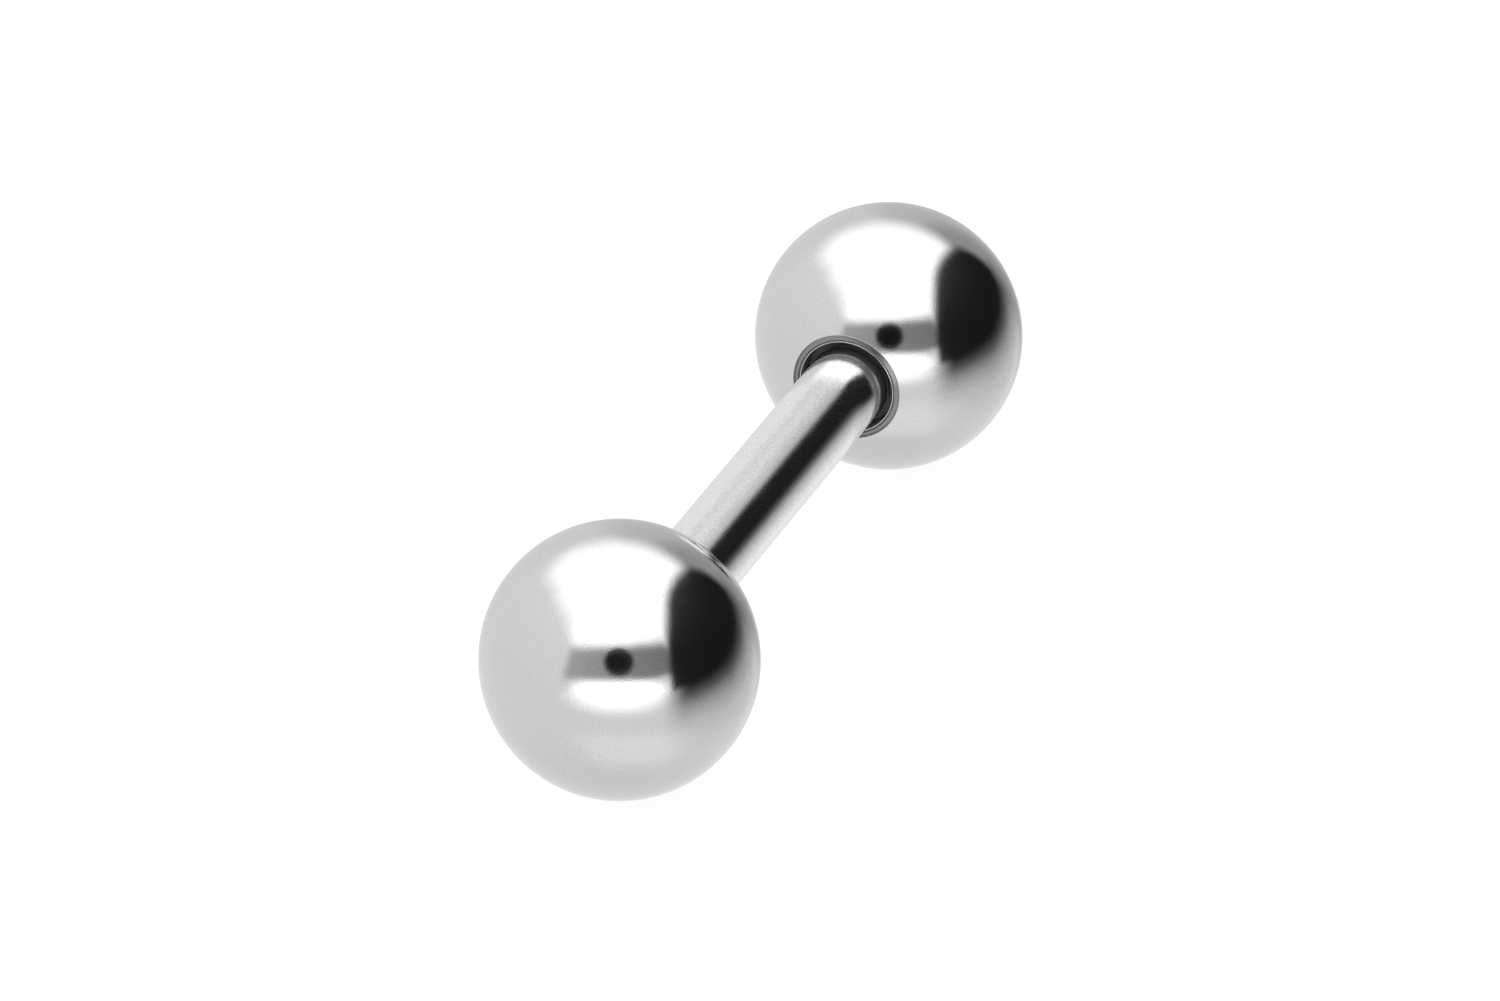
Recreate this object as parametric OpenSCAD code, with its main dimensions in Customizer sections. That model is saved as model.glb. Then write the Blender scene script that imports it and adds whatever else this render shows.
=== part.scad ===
// Straight piercing barbell: a smooth post with a threaded stub at each end,
// and a screw-on ball on each stub. It lies along X on the plane z = 0,
// and its origin is under the middle of the post. All sizes are millimetres.

/* [Post] */
// Diameter of the smooth post, 14 gauge once it is ground and polished
post_d = 1.55; // [1.5:0.05:2]
// Length of the post from shoulder to shoulder
post_l = 10; // [6:1:16]
// Radial depth of the lead bevel on each shoulder
lead_depth = 0.08; // [0.04:0.01:0.1]
// Length of the lead bevel, which stays inside the ball's counterbore
lead_l = 0.3; // [0.3:0.01:0.35]

/* [Thread] */
// Major diameter of the threaded stubs
thread_d = 1.2; // [0.9:0.1:1.2]
// Pitch of the right-hand thread
pitch = 0.25; // [0.2:0.05:0.3]
// Turns of thread on each stub
turns = 7; // [4:1:8]
// Plain neck between the shoulder and the first turn
neck_l = 0.1; // [0.05:0.01:0.2]
// Bevel on the tip of each stub
tip_bevel = 0.12; // [0.05:0.01:0.15]
// Flat faces of one turn of thread
turn_steps = 20; // [16:4:24]

/* [Balls] */
// Diameter of each ball
ball_d = 5; // [5:0.5:8]
// Radial gap between the post and the counterbore
mouth_gap = 0.125; // [0.1:0.005:0.15]
// Depth of the counterbore that takes the post's shoulder
mouth_depth = 0.43; // [0.4:0.01:0.45]
// Bright bevel on the counterbore's edge
mouth_bevel = 0.03; // [0.02:0.01:0.05]
// Width of the flat land round the counterbore
land_w = 0.12; // [0.1:0.01:0.2]
// Radial clearance between the thread and the ball's bore
thread_gap = 0.02; // [0.015:0.005:0.05]
// Gap between the post's shoulder and the counterbore's floor
seat_gap = 0.02; // [0.01:0.01:0.05]
// Room past the tip of the stub in the blind bore
bore_room = 0.15; // [0.1:0.05:0.3]
// Angle of the drill point at the bottom of the blind bore
drill_angle = 118; // [90:1:140]

/* [Hidden] */
$fn = 96;

post_r = post_d / 2;
ball_r = ball_d / 2;
axis_z = ball_r;

// Thread form: a 60 degree ridge with a flat crest and a flat root
crest_r = thread_d / 2;
ridge_h = 0.6134 * pitch;
root_r = crest_r - ridge_h;
flank_l = ridge_h * tan(30);
crest_l = pitch / 8;
steps = turns * turn_steps;
thread_l = (turns + 1) * pitch;
stub_l = neck_l + thread_l + tip_bevel;
embed = 0.15;

// Ball mouth, measured along the ball's own axis from its centre
mouth_r = post_r + mouth_gap;
land_r = mouth_r + mouth_bevel + land_w;
land_x = sqrt(ball_r ^ 2 - land_r ^ 2);
floor_x = land_x - mouth_depth;
bore_r = crest_r + thread_gap;
bore_l = stub_l + bore_room;
drill_l = bore_r / tan(drill_angle / 2);
ball_x = post_l / 2 + seat_gap + floor_x;

// Tools run past the faces that they cut by this much
over = 0.1;

// Height of the ridge at each step: it fades in and out over half a turn
function fade(k) = min(1, 2 * k / turn_steps, 2 * (steps - k) / turn_steps);

function ring_point(r, k, z) = [r * cos(360 * k / turn_steps), r * sin(360 * k / turn_steps), z];

// The four corners of the ridge's section at step k
function ridge(k) = let (z = neck_l + pitch * k / turn_steps, r = root_r + ridge_h * fade(k)) [
    ring_point(root_r, k, z),
    ring_point(r, k, z + flank_l),
    ring_point(r, k, z + flank_l + crest_l),
    ring_point(root_r, k, z + 2 * flank_l + crest_l)
];

// A threaded stub along +Z from the shoulder plane z = 0, sunk a little below it.
// One ridge winds round the root, and a ring at each end closes the form.
module threaded_stub() {
    n = turn_steps;
    points = [
        for (k = [0 : steps]) each ridge(k),
        for (k = [0 : n - 1]) ring_point(root_r, k, -embed),
        for (k = [0 : n - 1]) ring_point(root_r, k, stub_l - tip_bevel),
        for (k = [0 : n - 1]) ring_point(root_r - tip_bevel, k, stub_l)
    ];
    base = 4 * (steps + 1);
    function at(k, corner) = 4 * k + corner;
    function foot(k) = base + k % n;
    function head(k) = base + n + k % n;
    function tip(k) = base + 2 * n + k % n;
    faces = [
        for (k = [0 : steps - 1], c = [0 : 2])
            [at(k, c), at(k, c + 1), at(k + 1, c + 1), at(k + 1, c)],
        for (k = [0 : steps - n - 1])
            [at(k, 3), at(k + n, 0), at(k + n + 1, 0), at(k + 1, 3)],
        for (k = [0 : n - 2])
            [foot(k), at(k, 0), at(k + 1, 0), foot(k + 1)],
        [foot(n - 1), at(n - 1, 0), at(n, 0), at(0, 3), at(0, 2), at(0, 1), at(0, 0), foot(0)],
        for (k = [1 : n - 1])
            [at(steps - n + k, 3), head(k), head(k + 1), at(steps - n + k + 1, 3)],
        [head(1), at(steps - n + 1, 3), at(steps - n, 3), at(steps, 0), at(steps, 1), at(steps, 2),
            at(steps, 3), head(0)],
        for (k = [0 : n - 1])
            [head(k), tip(k), tip(k + 1), head(k + 1)],
        [for (k = [0 : n - 1]) foot(k)],
        [for (k = [n - 1 : -1 : 0]) tip(k)]
    ];
    polyhedron(points = points, faces = faces, convexity = 10);
}

// The post's smooth length, centred, with a shallow lead bevel at each shoulder
module shank() {
    cylinder(r = post_r, h = post_l - 2 * lead_l, center = true);
    for (side = [0, 180])
        rotate([side, 0, 0])
            translate([0, 0, post_l / 2 - lead_l])
                cylinder(r1 = post_r, r2 = post_r - lead_depth, h = lead_l);
}

// A ball centred on the origin whose mouth faces -Z
module threaded_ball() {
    difference() {
        sphere(r = ball_r);
        translate([0, 0, -ball_r - over])
            cylinder(r = ball_r, h = ball_r + over - land_x);
        translate([0, 0, -land_x - over])
            cylinder(r = mouth_r, h = mouth_depth + over);
        translate([0, 0, -land_x])
            cylinder(r1 = mouth_r + mouth_bevel, r2 = mouth_r, h = mouth_bevel);
        translate([0, 0, -floor_x - over])
            cylinder(r = bore_r, h = bore_l + over);
        translate([0, 0, -floor_x + bore_l])
            cylinder(r1 = bore_r, r2 = 0, h = drill_l);
    }
}

// Turns a form made along +Z to lie along X, on the side given as 1 or -1
module along_x(side) {
    translate([0, 0, axis_z])
        rotate([0, 90 * side, 0])
            children();
}

module post() {
    color("silver") {
        along_x(1) shank();
        for (side = [-1, 1])
            along_x(side)
                translate([0, 0, post_l / 2])
                    threaded_stub();
    }
}

module ball(side) {
    color("gainsboro")
        along_x(side)
            translate([0, 0, ball_x])
                threaded_ball();
}

module left_ball() {
    ball(-1);
}

module right_ball() {
    ball(1);
}

post();
left_ball();
right_ball();
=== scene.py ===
import math

import bpy
import numpy as np
from mathutils import Matrix, Vector


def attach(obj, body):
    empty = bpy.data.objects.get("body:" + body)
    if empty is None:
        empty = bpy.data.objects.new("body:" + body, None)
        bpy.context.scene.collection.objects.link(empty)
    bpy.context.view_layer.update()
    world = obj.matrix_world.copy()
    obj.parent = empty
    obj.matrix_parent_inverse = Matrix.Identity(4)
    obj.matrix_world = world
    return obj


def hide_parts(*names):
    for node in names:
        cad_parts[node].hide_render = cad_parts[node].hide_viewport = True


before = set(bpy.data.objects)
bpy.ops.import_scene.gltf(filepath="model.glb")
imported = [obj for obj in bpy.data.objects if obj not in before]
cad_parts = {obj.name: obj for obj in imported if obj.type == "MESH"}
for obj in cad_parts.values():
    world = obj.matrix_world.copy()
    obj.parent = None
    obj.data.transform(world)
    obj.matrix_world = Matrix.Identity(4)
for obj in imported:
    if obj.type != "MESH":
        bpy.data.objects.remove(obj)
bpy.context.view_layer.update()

MM = 0.001

# Driving sizes in millimetres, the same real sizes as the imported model's
POST_R = 0.775
POST_L = 10.0
LEAD_DEPTH = 0.08
LEAD_L = 0.3
THREAD_R = 0.6
PITCH = 0.25
TURNS = 7
NECK_L = 0.1
TIP_BEVEL = 0.12
BALL_R = 2.5
MOUTH_GAP = 0.125
MOUTH_DEPTH = 0.43
MOUTH_BEVEL = 0.03
LAND_W = 0.12
THREAD_GAP = 0.02
SEAT_GAP = 0.02
BORE_ROOM = 0.15
DRILL_ANGLE = math.radians(118)

# Thread form: a 60 degree ridge, with its height and its flat crest as shares of the pitch
RIDGE_SHARE = 0.6134
CREST_SHARE = 1 / 8
FLANK_ANGLE = math.radians(30)

# Round the counterbore, from the outside in: a groove, a band that slopes up, a second groove and a thin lip
GROOVE_W = 0.02
GROOVE_DEPTH = 0.03
BAND_RISE = 0.012
SECOND_GROOVE_W = 1.5 * GROOVE_W
LIP_W = 0.012
LIP_DEPTH = 0.006

# Sizes that follow from them. A ball's are measured from its own centre, and its mouth faces -X.
RIDGE_H = RIDGE_SHARE * PITCH
ROOT_R = THREAD_R - RIDGE_H
STUB_L = NECK_L + (TURNS + 1) * PITCH + TIP_BEVEL
MOUTH_R = POST_R + MOUTH_GAP
LAND_R = MOUTH_R + MOUTH_BEVEL + LAND_W
LAND_X = math.sqrt(BALL_R**2 - LAND_R**2)
FLOOR_X = LAND_X - MOUTH_DEPTH
BORE_R = THREAD_R + THREAD_GAP
BORE_L = STUB_L + BORE_ROOM
DRILL_L = BORE_R / math.tan(DRILL_ANGLE / 2)
DRILL_END_X = -FLOOR_X + BORE_L + DRILL_L
GROOVE_X = -LAND_X + GROOVE_DEPTH
LIP_X = -LAND_X + LIP_DEPTH
LIP_R = MOUTH_R + MOUTH_BEVEL / 2
BAND_X = -LAND_X - BAND_RISE
BAND_R = LIP_R + LIP_W + SECOND_GROOVE_W
BALL_X = POST_L / 2 + SEAT_GAP + FLOOR_X
AXIS_Z = BALL_R

# How finely the round forms are cut: steps round each axis, steps along a ball, rows for a turn of thread
ROUND_STEPS = 256
THREAD_ROUND_STEPS = 96
BALL_STEPS = 150
THREAD_ROWS = 20
# Folds sharper than this between two faces show as edges
SHARP_ANGLE = math.radians(35)

# Rounded edges: how far one reaches along its two sides, its steps, and the hold past its ends.
# It takes no more than a share of a side, nor its hold more than that share of its reach.
EDGE_REACH = 0.012
EDGE_STEPS = 4
EDGE_HOLD = 0.01
EDGE_SHARE = 0.3

# Small openings that the caps close: at a ball's pole, as an angle at its centre, and at the drill's tip
POLE_ANGLE = 0.004
DRILL_TIP_R = 0.002

# Material slots of the visual pieces, in this order on each
SKIN, LAND, BORE = 0, 1, 2
SHANK, THREAD = 0, 1
# How far from its edge the land begins, and how far past its wall the bore still goes
LAND_MARGIN = 0.006
BORE_MARGIN = 0.002


def rounded(points):
    """The open outline with each inner corner rounded, as a list of (x, r).

    A point a little way past each end of a curve keeps its shading from running along the outline.
    """
    out = [points[0]]
    for before, corner, after in zip(points, points[1:], points[2:]):
        a, b, c = (np.array(p, float) for p in (before, corner, after))
        to_a, to_c = a - b, c - b
        length_a, length_c = np.linalg.norm(to_a), np.linalg.norm(to_c)
        reach = min(EDGE_REACH, EDGE_SHARE * length_a, EDGE_SHARE * length_c)
        hold = min(EDGE_HOLD, EDGE_SHARE * reach)
        start = b + to_a / length_a * reach
        end = b + to_c / length_c * reach
        out.append(tuple(start + to_a / length_a * hold))
        for t in np.linspace(0, 1, EDGE_STEPS + 1):
            out.append(tuple((1 - t) ** 2 * start + 2 * t * (1 - t) * b + t**2 * end))
        out.append(tuple(end + to_c / length_c * hold))
    out.append(points[-1])
    return out


def surface(name, rings, slots):
    """A closed mesh object from rings of points round the X axis, with a cap at each end.

    Its faces point outward if an outer wall runs along +X and an inner wall along -X. slots has the
    material slot of each row of faces, and then of the first cap and the last.
    """
    rows, round_steps = len(rings), len(rings[0])
    verts = np.concatenate(rings) * MM
    faces = []
    for i in range(rows - 1):
        for j in range(round_steps):
            k = (j + 1) % round_steps
            faces.append((i * round_steps + j, i * round_steps + k,
                          (i + 1) * round_steps + k, (i + 1) * round_steps + j))
    for row in (0, rows - 1):
        first = row * round_steps
        middle = verts[first:first + round_steps].mean(axis=0)
        verts = np.vstack([verts, middle])
        for j in range(round_steps):
            k = (j + 1) % round_steps
            corners = (first + j, first + k, len(verts) - 1)
            faces.append(corners[::-1] if row == 0 else corners)
    mesh = bpy.data.meshes.new(name)
    mesh.from_pydata(verts.tolist(), [], faces)
    mesh.update()
    mesh.polygons.foreach_set("material_index", np.repeat(slots, round_steps).astype(np.int32))
    obj = bpy.data.objects.new(name, mesh)
    bpy.context.scene.collection.objects.link(obj)
    return obj


def ring(x, radii):
    """One ring of points at x, with a radius for each step round the X axis."""
    angle = np.linspace(0, 2 * math.pi, len(radii), endpoint=False)
    return np.column_stack([np.full(len(radii), x), radii * np.cos(angle), radii * np.sin(angle)])


def lathe_rings(outline, steps):
    """A round ring of points at each (x, r) of the outline."""
    return [ring(x, np.full(steps, r)) for x, r in outline]


def thread_rings(start):
    """Rings of a right-hand thread that starts at x = start, runs along +X and fades at both ends."""
    flank = RIDGE_H * math.tan(FLANK_ANGLE) / PITCH
    angle = np.arange(THREAD_ROUND_STEPS) / THREAD_ROUND_STEPS
    rings = []
    for i in range((TURNS + 1) * THREAD_ROWS + 1):
        pitches = i / THREAD_ROWS
        turn = pitches - angle
        place = turn % 1.0
        rise = np.clip(place / flank, 0, 1)
        fall = np.clip((2 * flank + CREST_SHARE - place) / flank, 0, 1)
        fade = np.clip(2 * np.minimum(turn, TURNS - turn), 0, 1)
        rings.append(ring(start + pitches * PITCH, ROOT_R + RIDGE_H * np.minimum(rise, fall) * fade))
    return rings


def finish_mesh(obj, body, node, side, centre_x):
    """Puts a piece made along +X at its place in the frame, and lets it stand for its CAD node."""
    turn = Matrix.Identity(4) if side > 0 else Matrix.Rotation(math.pi, 4, "Z")
    place = Matrix.Translation((0, 0, AXIS_Z * MM)) @ turn @ Matrix.Translation((centre_x * MM, 0, 0))
    obj.data.transform(place)
    obj.data.polygons.foreach_set("use_smooth", np.ones(len(obj.data.polygons), bool))
    obj.data.set_sharp_from_angle(angle=SHARP_ANGLE)
    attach(obj, body)
    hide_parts(node)
    return obj


def ball_outline():
    """Half a ball's section, a list of (x, r) from the drill point out of the mouth and round to the pole."""
    land_angle = math.asin(LAND_R / BALL_R)
    skin = [(BALL_R * math.cos(a), BALL_R * math.sin(a))
            for a in np.linspace(POLE_ANGLE, math.pi - land_angle, BALL_STEPS)]
    groove = [(GROOVE_X, LAND_R - GROOVE_W / 2), (GROOVE_X, LAND_R - GROOVE_W)]
    band_top = [(BAND_X, BAND_R)]
    second_groove = [(GROOVE_X, BAND_R - GROOVE_W / 2), (GROOVE_X, BAND_R - GROOVE_W)]
    lip = [(LIP_X, LIP_R + LIP_W / 2), (LIP_X, LIP_R - LIP_W / 2)]
    counterbore = [(GROOVE_X, MOUTH_R), (-FLOOR_X, MOUTH_R)]
    bore = [(-FLOOR_X, BORE_R), (-FLOOR_X + BORE_L, BORE_R), (DRILL_END_X, DRILL_TIP_R)]
    cut = skin[-2:] + groove + band_top + second_groove + lip + counterbore + bore
    inward = skin[:-1] + rounded(cut)[1:]
    return inward[::-1]


def ball_slots(outline):
    """The material slot of each row of faces along the ball's outline, and then of its two caps."""
    slots = []
    for (x0, r0), (x1, r1) in zip(outline, outline[1:]):
        x, r = (x0 + x1) / 2, (r0 + r1) / 2
        if x < GROOVE_X + LAND_MARGIN and LIP_R + LIP_W < r < LAND_R - LAND_MARGIN:
            slots.append(LAND)
        elif r < MOUTH_R + BORE_MARGIN and x < DRILL_END_X:
            slots.append(BORE)
        else:
            slots.append(SKIN)
    return slots + [BORE, SKIN]


def make_ball(name, node, side):
    """A ball whose mouth faces the middle of the post."""
    outline = ball_outline()
    obj = surface(name, lathe_rings(outline, ROUND_STEPS), ball_slots(outline))
    return finish_mesh(obj, node, node, side, BALL_X)


def make_post():
    """The post's smooth length, and at each end a lead bevel and a threaded stub, of the cut steel, whose
    dark colour is partly painted shade.
    """
    half = POST_L / 2
    shoulder = [(0, POST_R), (half - LEAD_L, POST_R), (half, POST_R - LEAD_DEPTH), (half, ROOT_R),
                (half + NECK_L, ROOT_R)]
    right = lathe_rings(rounded(shoulder)[1:], THREAD_ROUND_STEPS)
    right += thread_rings(half + NECK_L)[1:]
    right += lathe_rings([(half + STUB_L, ROOT_R - TIP_BEVEL)], THREAD_ROUND_STEPS)
    # The left half is the right one after half a turn about Z, with its points put back in step
    half_turn = np.array([-1, -1, 1])
    left = [(r * half_turn)[::-1] for r in right[::-1]]
    left = [np.roll(r, 1 + THREAD_ROUND_STEPS // 2, axis=0) for r in left]
    rings = left + right
    middles = [abs(a[0, 0] + b[0, 0]) / 2 for a, b in zip(rings, rings[1:])]
    slots = [THREAD if middle > half - LEAD_L + EDGE_REACH else SHANK for middle in middles]
    obj = surface("post_turned", rings, slots + [THREAD, THREAD])
    return finish_mesh(obj, "post", "post", 1, 0)


# A noise texture mostly stays between these values
NOISE_LOW, NOISE_HIGH = 0.3, 0.7
NOISE_DETAIL = 2.0
# Wear on the steel: how much coarser than the grain its patches and its scratches are, and how the
# scratches are drawn out and turned
PATCHES_COARSER = 30
SCRATCHES_COARSER = 12
SCRATCH_STRETCH = (1, 14, 14)
SCRATCH_TURN = (0.3, 0.2, 0.9)
# Rings that the lathe left on a cut face: their scale and how much they waver
RING_SCALE = 3500
RING_WAVER = 0.6


def node_tree(name):
    """A new material with its node tree and its shader."""
    material = bpy.data.materials.new(name)
    material.use_nodes = True
    tree = material.node_tree
    return material, tree, tree.nodes["Principled BSDF"]


def noise(tree, vector, scale):
    """A noise texture's value."""
    node = tree.nodes.new("ShaderNodeTexNoise")
    node.inputs["Scale"].default_value = scale
    node.inputs["Detail"].default_value = NOISE_DETAIL
    tree.links.new(vector, node.inputs["Vector"])
    return node.outputs["Fac"]


def mapping(tree, vector):
    """A mapping node on the vector."""
    node = tree.nodes.new("ShaderNodeMapping")
    tree.links.new(vector, node.inputs["Vector"])
    return node


def bump(tree, height, depth, under=None):
    """The normal with bumps of the given depth, over another bumped normal if there is one."""
    node = tree.nodes.new("ShaderNodeBump")
    node.inputs["Strength"].default_value = 1.0
    node.inputs["Distance"].default_value = depth
    tree.links.new(height, node.inputs["Height"])
    if under is not None:
        tree.links.new(under, node.inputs["Normal"])
    return node.outputs["Normal"]


def between(tree, factor, low, high):
    """A value that runs from low to high as the factor, a noise, goes through its usual range."""
    node = tree.nodes.new("ShaderNodeMapRange")
    node.inputs["From Min"].default_value = NOISE_LOW
    node.inputs["From Max"].default_value = NOISE_HIGH
    node.inputs["To Min"].default_value = low
    node.inputs["To Max"].default_value = high
    tree.links.new(factor, node.inputs["Value"])
    return node.outputs["Result"]


def lathe_marks(tree, where):
    """The height of fine rings round the part's axis."""
    centre = mapping(tree, where)
    centre.inputs["Location"].default_value = (0, 0, -AXIS_Z * MM)
    rings = tree.nodes.new("ShaderNodeTexWave")
    rings.wave_type = "RINGS"
    rings.rings_direction = "X"
    rings.inputs["Scale"].default_value = RING_SCALE
    rings.inputs["Distortion"].default_value = RING_WAVER
    tree.links.new(centre.outputs["Vector"], rings.inputs["Vector"])
    return rings.outputs["Fac"]


def steel(name, colour, speckle, gloss, grain, scratch_depth, edge_tint=1.0, ring_depth=0.0, matt=0.0):
    """Steel whose colour, gloss and grain vary finely, with faint scratches and, if asked, a lathe's rings.

    speckle is a scale and the share by which the colour varies, gloss a roughness and its spread, and
    grain a scale and a depth. edge_tint below 1 darkens what is seen at a glancing angle, and matt is
    the share of the surface that scatters light evenly, as a cut that nobody polished does.
    """
    material, tree, shader = node_tree(name)
    link = tree.links.new
    shader.inputs["Metallic"].default_value = 1.0 - matt
    shader.inputs["Specular Tint"].default_value = (edge_tint, edge_tint, edge_tint, 1)

    where = tree.nodes.new("ShaderNodeTexCoord").outputs["Object"]
    grain_scale, grain_depth = grain
    roughness, spread = gloss
    patches = noise(tree, where, grain_scale / PATCHES_COARSER)
    link(between(tree, patches, roughness - spread, roughness + spread), shader.inputs["Roughness"])

    speckle_scale, share = speckle
    speckles = noise(tree, where, speckle_scale)
    shade = tree.nodes.new("ShaderNodeCombineColor")
    for channel, value in zip(("Red", "Green", "Blue"), colour):
        link(between(tree, speckles, value * (1 - share), value * (1 + share)), shade.inputs[channel])
    link(shade.outputs["Color"], shader.inputs["Base Color"])

    stretch = mapping(tree, where)
    stretch.inputs["Scale"].default_value = SCRATCH_STRETCH
    stretch.inputs["Rotation"].default_value = SCRATCH_TURN
    scratches = noise(tree, stretch.outputs["Vector"], grain_scale / SCRATCHES_COARSER)
    normal = bump(tree, noise(tree, where, grain_scale), grain_depth)
    normal = bump(tree, scratches, scratch_depth, normal)
    if ring_depth:
        normal = bump(tree, lathe_marks(tree, where), ring_depth, normal)
    link(normal, shader.inputs["Normal"])
    return material


left = make_ball("left_ball_polished", "left_ball", -1)
right = make_ball("right_ball_polished", "right_ball", 1)
post = make_post()

# Steels of the balls, in the order of their slots: the polished skin, the faced land and the bored hole. The
# dark colours and edge tints of the land and the bore are partly painted shade, the shade in the mouth
# between ball and post.
ball_steels = [
    steel("polished_steel", colour=(0.70, 0.70, 0.705), speckle=(20000, 0.035), gloss=(0.11, 0.02),
          grain=(40000, 7e-7), scratch_depth=2e-8),
    steel("faced_steel_painted_shade", colour=(0.27, 0.27, 0.275), speckle=(40000, 0.06), gloss=(0.20, 0.04),
          grain=(40000, 8e-7), scratch_depth=1e-7, edge_tint=0.5, ring_depth=3e-7, matt=0.25),
    steel("bored_steel_painted_shade", colour=(0.18, 0.18, 0.18), speckle=(40000, 0.06), gloss=(0.42, 0.06),
          grain=(40000, 8e-7), scratch_depth=1e-7, edge_tint=0.25, ring_depth=6e-7, matt=0.75),
]
# Steels of the post: the drawn shank, whose colour is raised above the balls' steel as painted light, and the
# cut threads, whose dark colour is partly painted shade in the ball's mouth
post_steels = [
    steel("drawn_steel_painted_light", colour=(0.945, 0.945, 0.95), speckle=(20000, 0.10), gloss=(0.10, 0.03),
          grain=(40000, 1.5e-6), scratch_depth=3e-8),
    steel("cut_steel_painted_shade", colour=(0.42, 0.42, 0.425), speckle=(40000, 0.06), gloss=(0.25, 0.05),
          grain=(40000, 8e-7), scratch_depth=1e-7, matt=0.25),
]
for piece, steels in ((left, ball_steels), (right, ball_steels), (post, post_steels)):
    for material in steels:
        piece.data.materials.append(material)

# Camera: upright, at the photograph's angle to the barbell. Its lens and sensor are in millimetres.
FOCAL_LENGTH = 272.0
SENSOR_W = 36.0
CAMERA_CLIP = (0.01, 50.0)
CAMERA_AT = Vector((-171.07, -65.33, 97.36)) * MM
CAMERA_RIGHT = Vector((0.3575, -0.9339, 0))
CAMERA_UP = Vector((0.4301, 0.1646, 0.8876))


def make_camera():
    """The scene's camera, which looks along its own -Z."""
    data = bpy.data.cameras.new("camera")
    data.lens = FOCAL_LENGTH
    data.sensor_width = SENSOR_W
    data.clip_start, data.clip_end = CAMERA_CLIP
    camera = bpy.data.objects.new("camera", data)
    back = CAMERA_RIGHT.cross(CAMERA_UP)
    turn = Matrix((CAMERA_RIGHT, CAMERA_UP, back)).transposed().to_4x4()
    camera.matrix_world = Matrix.Translation(CAMERA_AT) @ turn
    bpy.context.scene.collection.objects.link(camera)
    bpy.context.scene.camera = camera


make_camera()

# The studio is painted on a round tent that only shows in the steel. Its cards are given by angles:
# "turn" goes round from the camera's side (0) to the right, "rise" is above the horizon, in degrees.
# A haze is the width over which an edge fades, in degrees too. CAMERA_SIDE is where the camera stands,
# in degrees from +X.
TENT_R = 1.5
TENT_STEP = 1.0
CAMERA_SIDE = 200.9

# Levels of the softbox overhead and of the strip of table, and the factor that brightens the whole tent
SKY = 1.4
STRIP = 1.45
TENT_LIGHT = 1.114

# Level of the plain surroundings by rise
SURROUND = ((-90, 0.70), (-75, 0.715), (-60, 0.73), (-45, 0.75), (-30, 0.765), (-10, 0.765), (10, 0.78),
            (35, 0.81), (90, 0.81))
# Glow low in front: the level that it adds, and its middle, half its size and its haze as (turn, rise)
FRONT_GLOW = 0.11
GLOW_MIDDLE, GLOW_HALF, GLOW_HAZE = (15, -52), (50, 16), (50, 18)
# Darker wall to the right, which goes on behind: its left edge and haze, the share of light on it and its
# base by turn, and the haze of its base. Its turns count on past 180, up to COUNT_ON_TO on the left.
RIGHT_EDGE, RIGHT_EDGE_HAZE = 136, 8
RIGHT_WALL = ((138, 0.42), (150, 0.41), (156, 0.47), (160, 0.53), (165, 0.65), (172, 0.69), (178, 0.72),
              (182, 0.77), (187, 0.88), (208, 0.94), (225, 1.0))
RIGHT_BASE = ((138, -14), (145, -19), (150, -23), (160, -28), (180, -30), (200, -24))
RIGHT_BASE_HAZE = 20
COUNT_ON_TO = -90

# Softbox overhead: its lower edge, rows of (turn, rise), and the haze of that edge, (turn, haze)
SOFTBOX_EDGE = ((-180, 40), (-165, 39), (-150, 34), (-130, 35.5), (-110, 46), (-90, 47.5), (-70, 48),
                (-57, 42.5), (-50, 36.5), (-45, 33), (-40, 33), (-20, 37.4), (0, 38.7), (20, 39.2),
                (40, 37), (50, 35), (130, 36), (145, 38.5), (155, 40), (167, 41.5), (180, 40.5))
SOFTBOX_HAZE = ((-180, 30), (-165, 34), (-150, 28), (-130, 22), (-110, 18), (-90, 19), (-70, 22),
                (-57, 22), (-50, 16), (-45, 12), (-20, 10), (20, 10), (40, 13), (50, 16), (130, 16),
                (145, 22), (155, 26), (167, 28), (180, 28))

# Grey wall behind the camera: its sides and their hazes, its level and its base by turn, and the haze of
# its base
WALL_LEFT, WALL_RIGHT = -45.5, 47
WALL_HAZES = (8, 6)
WALL_LEVEL = ((-46, 0.41), (-20, 0.35), (20, 0.235), (42, 0.20))
WALL_BASE = ((-46, 5), (-40, 7), (-33, 9.5), (0, 9.8), (26, 10.4), (47, 10.4))
WALL_BASE_HAZE = 5

# Bright strip of table under that wall: half its width, the rise of its middle, half its height, how
# square its ends are, and its haze, which grows by STRIP_FADE below a rise, over STRIP_FADE_OVER degrees
STRIP_HALF_W, STRIP_RISE, STRIP_HALF_H = 38.0, -1.0, 12.5
STRIP_POWER = 2.4
STRIP_HAZE = 5
STRIP_FADE_FROM, STRIP_FADE_OVER, STRIP_FADE = -4, 8, 11

# Black flag: its upper edge and the haze of that by turn, its sides by rise and their hazes, its base by
# turn and its level by rise
FLAG_TOP = ((46, 31), (50, 38), (56, 44), (62, 48.2), (68, 51), (74, 53.2), (80, 55), (86, 55.8),
            (92, 56.1), (98, 56), (104, 55.2), (110, 53.7), (116, 51.7), (122, 49), (128, 45),
            (134, 39.3), (140, 33))
FLAG_TOP_HAZE = ((50, 18), (56, 18), (62, 14), (74, 11), (92, 9), (110, 9), (122, 11), (134, 14))
FLAG_LEFT = ((-10, 42.5), (12, 42.5), (25, 46), (35, 48.8))
FLAG_RIGHT = ((0, 140), (10, 141), (20, 141), (30, 140), (40, 137))
FLAG_HAZES = (5, 9)
FLAG_BASE = ((45, -3), (100, -2.5), (120, 1.5), (130, 4), (140, 6))
FLAG_LEVEL = ((0, 0.010), (20, 0.012), (30, 0.016), (40, 0.022), (50, 0.034))
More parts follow.
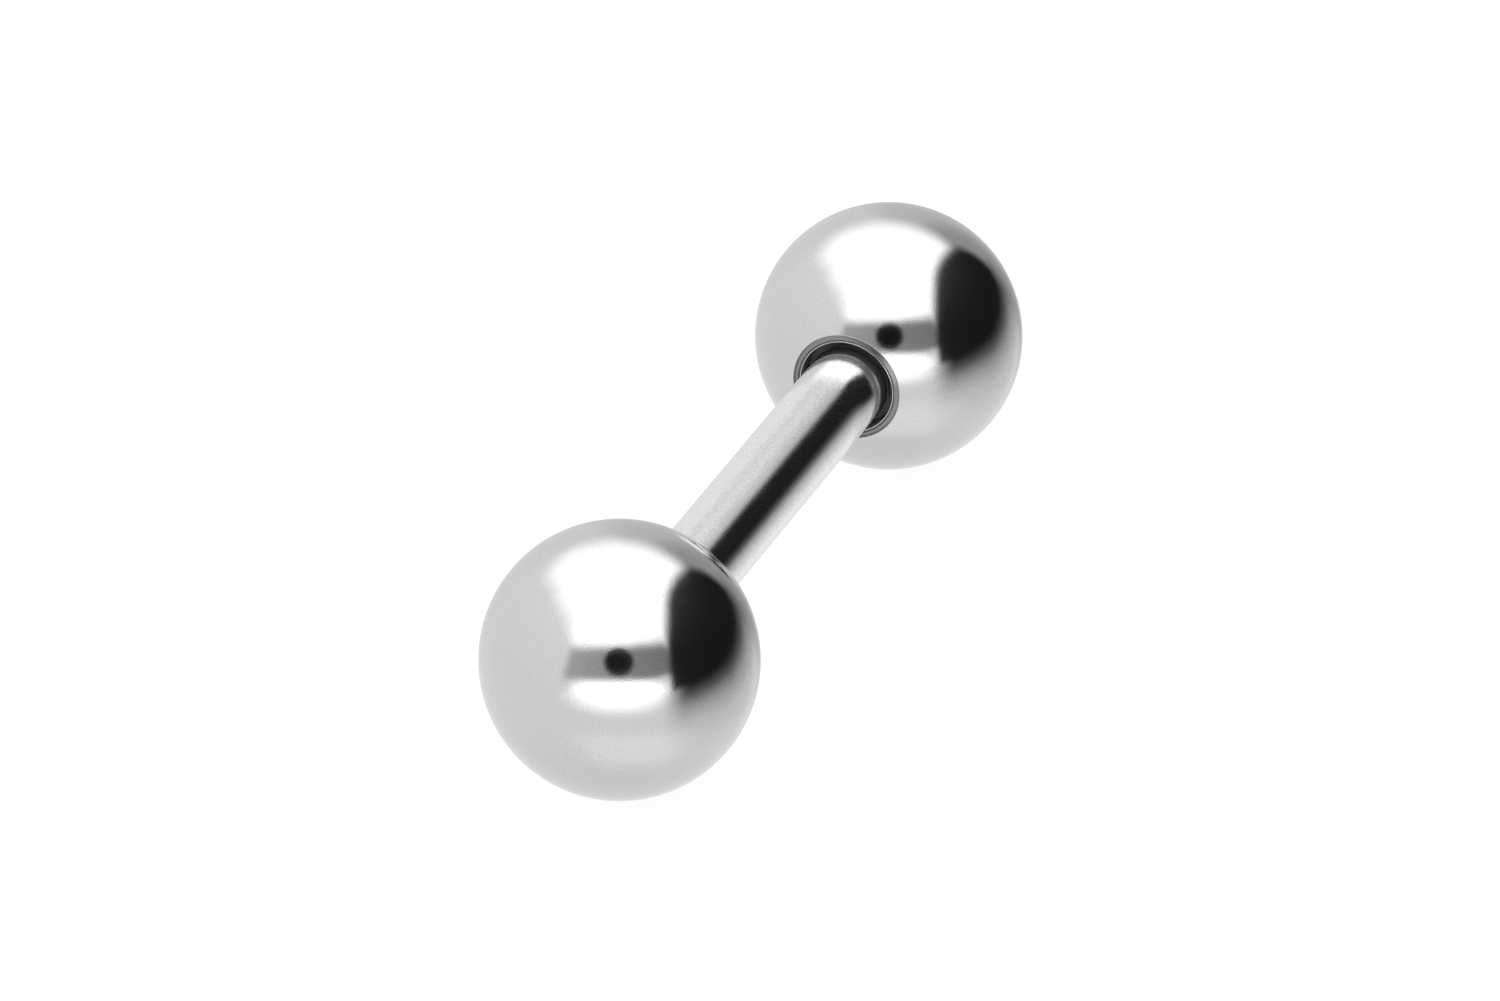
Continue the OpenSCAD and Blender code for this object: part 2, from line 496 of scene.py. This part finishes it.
# Shadow under the flag: its sides and their hazes, and the share of light in it by depth below the base
SHADOW_LEFT, SHADOW_RIGHT = 44, 142
SHADOW_HAZES = (26, 20)
FLAG_SHADOW = ((0, 0.012), (3, 0.045), (8, 0.13), (13, 0.33), (18, 0.52), (28, 0.77), (40, 0.91), (52, 1.0))


def along(place, rows):
    """The second column of the rows, read at each place in the first."""
    table = np.array(rows, float)
    return np.interp(place, table[:, 0], table[:, 1])


def soft(distance, haze):
    """0 to 1 as the distance in degrees goes through zero, over the haze of a soft edge."""
    t = np.clip(distance / haze + 0.5, 0, 1)
    return t * t * (3 - 2 * t)


def span(turn, left, right, hazes):
    """1 between the left and the right edge and 0 outside them, with a haze for each."""
    return soft(turn - left, hazes[0]) * soft(right - turn, hazes[1])


def blend(level, other, share):
    """The level with the other in its place, as far as the share says."""
    return level + (other - level) * share


def surroundings(turn, rise):
    """The plain tent: brighter low in front, and darker on the wall to the right, which goes on behind."""
    across, up = np.abs(turn - GLOW_MIDDLE[0]), np.abs(rise - GLOW_MIDDLE[1])
    glow = soft(GLOW_HALF[0] - across, GLOW_HAZE[0]) * soft(GLOW_HALF[1] - up, GLOW_HAZE[1])
    level = along(rise, SURROUND) + FRONT_GLOW * glow
    round_turn = np.where(turn < COUNT_ON_TO, turn + 360, turn)
    wall = soft(round_turn - RIGHT_EDGE, RIGHT_EDGE_HAZE)
    wall *= soft(rise - along(round_turn, RIGHT_BASE), RIGHT_BASE_HAZE)
    return level * (1 - wall * (1 - along(round_turn, RIGHT_WALL)))


def add_softbox(level, turn, rise):
    """The softbox overhead, and the grey wall that hangs from its front edge."""
    lit = soft(rise - along(turn, SOFTBOX_EDGE), along(turn, SOFTBOX_HAZE))
    wall = span(turn, WALL_LEFT, WALL_RIGHT, WALL_HAZES)
    wall *= soft(rise - along(turn, WALL_BASE), WALL_BASE_HAZE)
    return blend(blend(level, SKY, lit), blend(along(turn, WALL_LEVEL), SKY, lit), wall)


def add_strip(level, turn, rise):
    """The bright strip of table, crisp above and fading below."""
    across = (np.abs(turn) / STRIP_HALF_W) ** STRIP_POWER
    out = np.sqrt(across + ((rise - STRIP_RISE) / STRIP_HALF_H) ** 2)
    haze = STRIP_HAZE + STRIP_FADE * soft(STRIP_FADE_FROM - rise, STRIP_FADE_OVER)
    return blend(level, STRIP, soft((1 - out) * STRIP_HALF_H, haze))


def add_flag(level, turn, rise):
    """The black flag, and the shadow that spreads under it."""
    base = along(turn, FLAG_BASE)
    shadow = span(turn, SHADOW_LEFT, SHADOW_RIGHT, SHADOW_HAZES) * (rise < base)
    level = level * (1 - shadow * (1 - along(base - rise, FLAG_SHADOW)))
    flag = span(turn, along(rise, FLAG_LEFT), along(rise, FLAG_RIGHT), FLAG_HAZES) * (rise >= base)
    flag *= soft(along(turn, FLAG_TOP) - rise, along(turn, FLAG_TOP_HAZE))
    return blend(level, along(rise, FLAG_LEVEL), flag)


def studio_level(turn, rise):
    """How bright the tent is in each direction."""
    level = surroundings(turn, rise)
    level = add_softbox(level, turn, rise)
    level = add_strip(level, turn, rise)
    return TENT_LIGHT * add_flag(level, turn, rise)


def glow_material(name):
    """A card's own light, as bright as its "level" attribute says."""
    material = bpy.data.materials.new(name)
    material.use_nodes = True
    tree = material.node_tree
    tree.nodes.clear()
    out = tree.nodes.new("ShaderNodeOutputMaterial")
    light = tree.nodes.new("ShaderNodeEmission")
    level = tree.nodes.new("ShaderNodeAttribute")
    level.attribute_name = "level"
    tree.links.new(level.outputs["Fac"], light.inputs["Strength"])
    tree.links.new(light.outputs["Emission"], out.inputs["Surface"])
    material.cycles.emission_sampling = "NONE"
    return material


def studio_card(name, verts, faces, levels, material):
    """A glowing stage piece that shows only in polished surfaces."""
    mesh = bpy.data.meshes.new(name)
    mesh.from_pydata(verts, [], faces)
    attribute = mesh.attributes.new("level", "FLOAT", "POINT")
    attribute.data.foreach_set("value", np.array(levels, dtype=np.float32))
    mesh.materials.append(material)
    obj = bpy.data.objects.new(name, mesh)
    obj.visible_camera = False
    obj.visible_diffuse = False
    obj.visible_shadow = False
    bpy.context.scene.collection.objects.link(obj)


def make_tent(material):
    """The tent as a globe of small faces, a level at each corner."""
    turns = np.arange(-180, 180 + TENT_STEP, TENT_STEP)
    rises = np.arange(-90, 90 + TENT_STEP, TENT_STEP)
    turn, rise = np.meshgrid(turns, rises)
    levels = studio_level(turn, rise)
    azimuth, up = np.radians(CAMERA_SIDE + turn), np.radians(rise)
    verts = TENT_R * np.stack([np.cos(azimuth) * np.cos(up), np.sin(azimuth) * np.cos(up), np.sin(up)], -1)
    count = len(turns)
    faces = [(i * count + j, i * count + j + 1, (i + 1) * count + j + 1, (i + 1) * count + j)
             for i in range(len(rises) - 1) for j in range(count - 1)]
    studio_card("tent", verts.reshape(-1, 3).tolist(), faces, levels.ravel(), material)


# Dark front of the lens: its radius and its drop below the line to the camera, both for each metre of
# distance, then the distance of its card from the post in metres, its level and its corners
LENS_SIZE = 0.21
LENS_DROP = 0.02
LENS_AT = 1.4
LENS_LEVEL = 0.006
LENS_CORNERS = 64


def make_lens(material):
    """The dark front of the lens and its hood, as a card beyond the camera that looks as large."""
    post_middle = Vector((0, 0, AXIS_Z * MM))
    middle = post_middle + LENS_AT * ((CAMERA_AT - post_middle).normalized() - LENS_DROP * CAMERA_UP)
    radius = LENS_AT * LENS_SIZE
    verts = [middle + radius * (math.cos(t) * CAMERA_RIGHT + math.sin(t) * CAMERA_UP)
             for t in np.linspace(0, 2 * math.pi, LENS_CORNERS, endpoint=False)]
    studio_card("lens", verts, [tuple(range(LENS_CORNERS))], [LENS_LEVEL] * LENS_CORNERS, material)


studio_glow = glow_material("studio_glow")
make_tent(studio_glow)
make_lens(studio_glow)

# Floor: half its side and its height in metres, just under the part, then its grey, its own light and
# its roughness
FLOOR_HALF = 3.0
FLOOR_Z = -0.00002
FLOOR_GREY = 0.15
FLOOR_OWN_LIGHT = 0.9
FLOOR_ROUGHNESS = 0.9


def make_floor():
    """A pale floor with light of its own, so that shadows on it stay soft and light."""
    mesh = bpy.data.meshes.new("floor")
    mesh.from_pydata([(-FLOOR_HALF, -FLOOR_HALF, FLOOR_Z), (FLOOR_HALF, -FLOOR_HALF, FLOOR_Z),
                      (FLOOR_HALF, FLOOR_HALF, FLOOR_Z), (-FLOOR_HALF, FLOOR_HALF, FLOOR_Z)],
                     [], [(0, 1, 2, 3)])
    material, tree, shader = node_tree("floor")
    shader.inputs["Base Color"].default_value = (FLOOR_GREY, FLOOR_GREY, FLOOR_GREY, 1)
    shader.inputs["Roughness"].default_value = FLOOR_ROUGHNESS
    shader.inputs["Specular IOR Level"].default_value = 0.0
    shader.inputs["Emission Color"].default_value = (1, 1, 1, 1)
    shader.inputs["Emission Strength"].default_value = FLOOR_OWN_LIGHT
    material.cycles.emission_sampling = "NONE"
    mesh.materials.append(material)
    floor = bpy.data.objects.new("floor", mesh)
    floor.visible_glossy = False
    bpy.context.scene.collection.objects.link(floor)


make_floor()


def make_world():
    """Even white light behind the part, on the floor and on the matt cuts: polished steel sees the tent."""
    world = bpy.data.worlds.new("studio")
    world.use_nodes = True
    bpy.context.scene.world = world
    background = world.node_tree.nodes["Background"]
    background.inputs["Color"].default_value = (1, 1, 1, 1)
    background.inputs["Strength"].default_value = 1.0
    world.cycles_visibility.glossy = False


make_world()
bpy.context.scene.view_settings.view_transform = "Standard"
